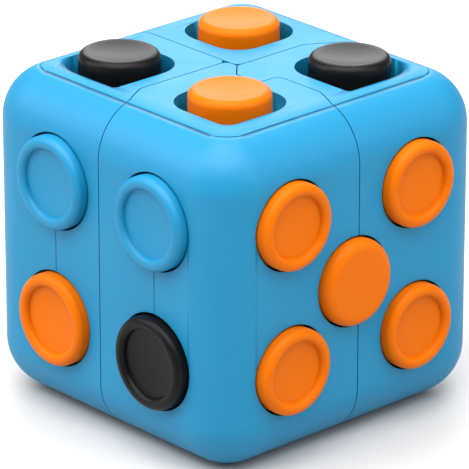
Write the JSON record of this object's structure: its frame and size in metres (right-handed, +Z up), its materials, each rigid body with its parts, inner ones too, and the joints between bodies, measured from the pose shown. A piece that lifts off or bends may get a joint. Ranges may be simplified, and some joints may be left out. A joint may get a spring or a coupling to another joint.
{
  "type": "fidget cube",
  "caption": "Rounded hand toy cube with sprung buttons on its top, front and right, a spinning dial, a flip switch and a thumb dish, built from quarter shells on an inner core.",
  "frame": {"origin": "middle of the underside, where the cube rests", "axes": "+Z up; -Y is the face with four ring buttons; +X is the face with five buttons; +Y the dial; -X the switch"},
  "size_m": [0.0359, 0.036, 0.0335],
  "materials": {
    "blue_plastic": "satin",
    "orange_plastic": "satin",
    "black_plastic": "satin",
    "white_plastic": "matte",
    "spring_steel": "drawn"
  },
  "bodies": {
    "housing": {"bottom_cover": "blue_plastic", "core_frame": "white_plastic", "corner_shell_back_left": "blue_plastic", "corner_shell_back_right": "blue_plastic", "corner_shell_front_left": "blue_plastic", "corner_shell_front_right": "blue_plastic", "cover_screws": "spring_steel", "dial_detent_ball": "spring_steel", "dial_detent_spring": "spring_steel", "flip_frame": "black_plastic", "flip_pin": "spring_steel", "front_spring_lower_left": "spring_steel", "front_spring_lower_right": "spring_steel", "front_spring_upper_left": "spring_steel", "front_spring_upper_right": "spring_steel", "right_spring_lower_back": "spring_steel", "right_spring_lower_front": "spring_steel", "right_spring_middle": "spring_steel", "right_spring_upper_back": "spring_steel", "right_spring_upper_front": "spring_steel", "top_spring_back_left": "spring_steel", "top_spring_back_right": "spring_steel", "top_spring_front_left": "spring_steel", "top_spring_front_right": "spring_steel", "top_tile_back_left": "blue_plastic", "top_tile_back_right": "blue_plastic", "top_tile_front_left": "blue_plastic", "top_tile_front_right": "blue_plastic"},
    "top_front_left": {"top_button_front_left": "black_plastic"},
    "top_front_right": {"top_button_front_right": "orange_plastic"},
    "top_back_left": {"top_button_back_left": "orange_plastic"},
    "top_back_right": {"top_button_back_right": "black_plastic"},
    "front_upper_left": {"front_button_upper_left": "blue_plastic"},
    "front_upper_right": {"front_button_upper_right": "blue_plastic"},
    "front_lower_left": {"front_button_lower_left": "orange_plastic"},
    "front_lower_right": {"front_button_lower_right": "black_plastic"},
    "right_upper_front": {"right_button_upper_front": "orange_plastic"},
    "right_upper_back": {"right_button_upper_back": "orange_plastic"},
    "right_lower_front": {"right_button_lower_front": "orange_plastic"},
    "right_lower_back": {"right_button_lower_back": "orange_plastic"},
    "right_middle": {"right_button_middle": "orange_plastic"},
    "dial": {"spin_dial": "orange_plastic"},
    "switch": {"flip_switch": "black_plastic"}
  },
  "joints": [
    {"name": "top_front_left_press", "type": "slide", "parent": "housing", "child": "top_front_left", "axis": [0, 0, -1], "range_m": [0, 0.0009], "stiffness_N_per_m": 400, "springref_m": -0.0008, "deforming": ["top_spring_front_left"]},
    {"name": "top_front_right_press", "type": "slide", "parent": "housing", "child": "top_front_right", "axis": [0, 0, -1], "range_m": [0, 0.0009], "stiffness_N_per_m": 400, "springref_m": -0.0008, "deforming": ["top_spring_front_right"]},
    {"name": "top_back_left_press", "type": "slide", "parent": "housing", "child": "top_back_left", "axis": [0, 0, -1], "range_m": [0, 0.0009], "stiffness_N_per_m": 400, "springref_m": -0.0008, "deforming": ["top_spring_back_left"]},
    {"name": "top_back_right_press", "type": "slide", "parent": "housing", "child": "top_back_right", "axis": [0, 0, -1], "range_m": [0, 0.0009], "stiffness_N_per_m": 400, "springref_m": -0.0008, "deforming": ["top_spring_back_right"]},
    {"name": "front_upper_left_press", "type": "slide", "parent": "housing", "child": "front_upper_left", "axis": [0, 1, 0], "range_m": [0, 0.0009], "stiffness_N_per_m": 400, "springref_m": -0.0008, "deforming": ["front_spring_upper_left"]},
    {"name": "front_upper_right_press", "type": "slide", "parent": "housing", "child": "front_upper_right", "axis": [0, 1, 0], "range_m": [0, 0.0009], "stiffness_N_per_m": 400, "springref_m": -0.0008, "deforming": ["front_spring_upper_right"]},
    {"name": "front_lower_left_press", "type": "slide", "parent": "housing", "child": "front_lower_left", "axis": [0, 1, 0], "range_m": [0, 0.0009], "stiffness_N_per_m": 400, "springref_m": -0.0008, "deforming": ["front_spring_lower_left"]},
    {"name": "front_lower_right_press", "type": "slide", "parent": "housing", "child": "front_lower_right", "axis": [0, 1, 0], "range_m": [0, 0.0009], "stiffness_N_per_m": 400, "springref_m": -0.0008, "deforming": ["front_spring_lower_right"]},
    {"name": "right_upper_front_press", "type": "slide", "parent": "housing", "child": "right_upper_front", "axis": [-1, 0, 0], "range_m": [0, 0.0009], "stiffness_N_per_m": 400, "springref_m": -0.0008, "deforming": ["right_spring_upper_front"]},
    {"name": "right_upper_back_press", "type": "slide", "parent": "housing", "child": "right_upper_back", "axis": [-1, 0, 0], "range_m": [0, 0.0009], "stiffness_N_per_m": 400, "springref_m": -0.0008, "deforming": ["right_spring_upper_back"]},
    {"name": "right_lower_front_press", "type": "slide", "parent": "housing", "child": "right_lower_front", "axis": [-1, 0, 0], "range_m": [0, 0.0009], "stiffness_N_per_m": 400, "springref_m": -0.0008, "deforming": ["right_spring_lower_front"]},
    {"name": "right_lower_back_press", "type": "slide", "parent": "housing", "child": "right_lower_back", "axis": [-1, 0, 0], "range_m": [0, 0.0009], "stiffness_N_per_m": 400, "springref_m": -0.0008, "deforming": ["right_spring_lower_back"]},
    {"name": "right_middle_press", "type": "slide", "parent": "housing", "child": "right_middle", "axis": [-1, 0, 0], "range_m": [0, 0.0009], "stiffness_N_per_m": 400, "springref_m": -0.0008, "deforming": ["right_spring_middle"]},
    {"name": "dial_spin", "type": "hinge", "parent": "housing", "child": "dial", "pos_m": [0, 0.0167, 0.0161], "axis": [0, 1, 0], "continuous": true},
    {"name": "switch_flip", "type": "hinge", "parent": "housing", "child": "switch", "pos_m": [-0.0145, 0, 0.0161], "axis": [0, 1, 0], "range_deg": [-7, 7]}
  ]
}
